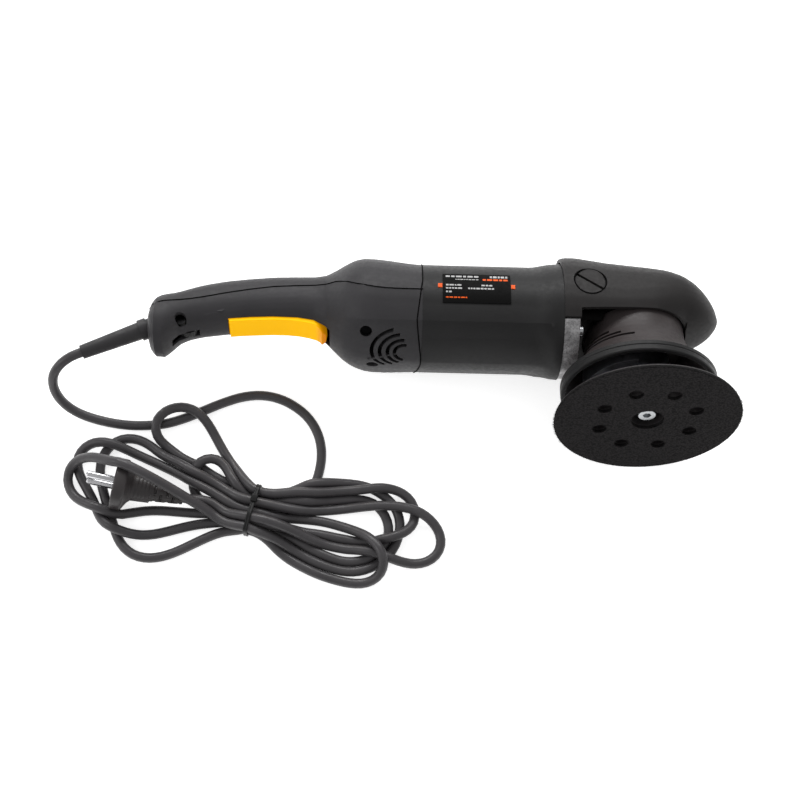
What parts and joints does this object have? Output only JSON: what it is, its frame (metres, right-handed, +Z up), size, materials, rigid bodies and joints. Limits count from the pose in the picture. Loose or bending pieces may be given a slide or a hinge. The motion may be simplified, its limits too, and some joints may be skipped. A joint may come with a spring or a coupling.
{
  "type": "dual-action car polisher",
  "caption": "Corded dual-action polisher with a bar handle, trigger, motor, gear head and an orbiting backing plate, lying on its side with its cord tied in a hank.",
  "frame": {"origin": "bottom centre of the tool as it lies on its left side, its free cord left out of the measure", "axes": "+X along the motor from the handle to the gear head; -Y the way the backing plate faces; +Z up from the surface it lies on"},
  "size_m": [0.4712, 0.2237, 0.1218],
  "materials": {
    "handle_plastic": "fine matt grain",
    "housing_plastic": "fine matt grain",
    "cover_plastic": "fine matt grain",
    "skirt_plastic": "matt",
    "black_plastic": "matt",
    "ivory_plastic": "matt",
    "trigger_plastic": "satin yellow",
    "label_film": "printed film",
    "orange_film": "printed film",
    "circuit_board": "board and blocks",
    "capacitor_case": "moulded case",
    "cast_aluminium": "cast, fine blasted",
    "lamination_steel": "stacked laminations",
    "enamelled_copper": "enamelled winding",
    "bar_copper": "turned",
    "carbon": "pressed carbon",
    "brass_sheet": "folded sheet",
    "bearing_steel": "ground",
    "shaft_steel": "ground",
    "gear_steel": "hardened",
    "counterweight_iron": "cast",
    "screw_steel": "zinc plated",
    "plate_rubber": "moulded",
    "pad_foam": "foam",
    "hook_fabric": "hook-and-loop pile",
    "cord_rubber": "smooth sheath",
    "guard_rubber": "smooth",
    "plug_rubber": "smooth",
    "nickel": "nickel plated"
  },
  "bodies": {
    "housing": {"upper_handle_shell": "handle_plastic", "lower_handle_shell": "handle_plastic", "handle_screws": "screw_steel", "cord_guard": "guard_rubber", "cord_clamp": "black_plastic", "speed_controller": "circuit_board", "switch_body": "black_plastic", "trigger_pin": "shaft_steel", "trigger_spring": "shaft_steel", "suppression_capacitor": "capacitor_case", "motor_housing": "housing_plastic", "label_plate": "label_film", "label_tabs": "orange_film", "stator_core": "lamination_steel", "field_windings": "enamelled_copper", "bearing_bridge": "housing_plastic", "brush_holders": "brass_sheet", "brushes": "carbon", "rear_bearing": "bearing_steel", "fan_baffle": "black_plastic", "gear_case": "cast_aluminium", "gear_case_screws": "screw_steel", "front_bearing": "bearing_steel", "head_cover": "cover_plastic", "side_handle_caps": "cover_plastic", "upper_spindle_bearing": "bearing_steel", "bearing_box": "cast_aluminium", "lower_spindle_bearing": "bearing_steel", "bearing_retainer": "gear_steel", "skirt": "skirt_plastic", "skirt_ring": "housing_plastic", "skirt_screws": "screw_steel", "cord_lead": "cord_rubber", "cord_hank": "cord_rubber", "cord_tie": "black_plastic", "plug_body": "plug_rubber", "plug_pins": "nickel"},
    "armature": {"armature_shaft": "shaft_steel", "armature_core": "lamination_steel", "armature_windings": "enamelled_copper", "commutator": "bar_copper", "fan": "housing_plastic", "pinion": "gear_steel"},
    "spindle": {"spindle": "shaft_steel", "crown_gear": "gear_steel", "eccentric_carrier": "counterweight_iron", "eccentric_weight": "counterweight_iron", "weight_screws": "screw_steel", "pad_bearings": "bearing_steel"},
    "pad": {"pad_spindle": "shaft_steel", "backing_plate": "plate_rubber", "plate_screws": "screw_steel", "pad_foam": "pad_foam", "loop_face": "hook_fabric", "plate_washer": "screw_steel", "plate_bolt": "screw_steel"},
    "trigger": {"trigger": "trigger_plastic"},
    "plunger": {"switch_plunger": "ivory_plastic"},
    "dial": {"speed_dial": "black_plastic"},
    "lock_button": {"lock_button": "black_plastic"}
  },
  "joints": [
    {"name": "armature_spin", "type": "hinge", "parent": "housing", "child": "armature", "pos_m": [0.1583, 0.0233, 0.042], "axis": [1, 0, 0], "continuous": true},
    {"name": "spindle_spin", "type": "hinge", "parent": "housing", "child": "spindle", "pos_m": [0.1583, 0.0233, 0.042], "axis": [0, 0.9703, -0.2419], "continuous": true},
    {"name": "pad_spin", "type": "hinge", "parent": "spindle", "child": "pad", "pos_m": [0.1623, 0.0233, 0.042], "axis": [0, 0.9703, -0.2419], "continuous": true},
    {"name": "trigger_pull", "type": "hinge", "parent": "housing", "child": "trigger", "pos_m": [-0.1277, 0.01942, 0.04297], "axis": [0, 0.2419, 0.9703], "range_deg": [0, 5], "stiffness_Nm_per_rad": 1, "springref_deg": -8.59},
    {"name": "plunger_slide", "type": "slide", "parent": "housing", "child": "plunger", "axis": [0, 0.9703, -0.2419], "range_m": [0, 0.0047]},
    {"name": "speed_dial_turn", "type": "hinge", "parent": "housing", "child": "dial", "pos_m": [-0.1507, 0.01321, 0.04452], "axis": [0, -0.2419, -0.9703], "range_deg": [0, 270]},
    {"name": "lock_button_press", "type": "slide", "parent": "housing", "child": "lock_button", "axis": [0, 0.2419, 0.9703], "range_m": [0, 0.003], "stiffness_N_per_m": 400, "springref_m": -0.002}
  ],
  "couplings": [
    {"joint": "spindle_spin", "follows": "armature_spin", "ratio": -0.21951},
    {"joint": "plunger_slide", "follows": "trigger_pull", "m_per_rad": 0.053}
  ]
}
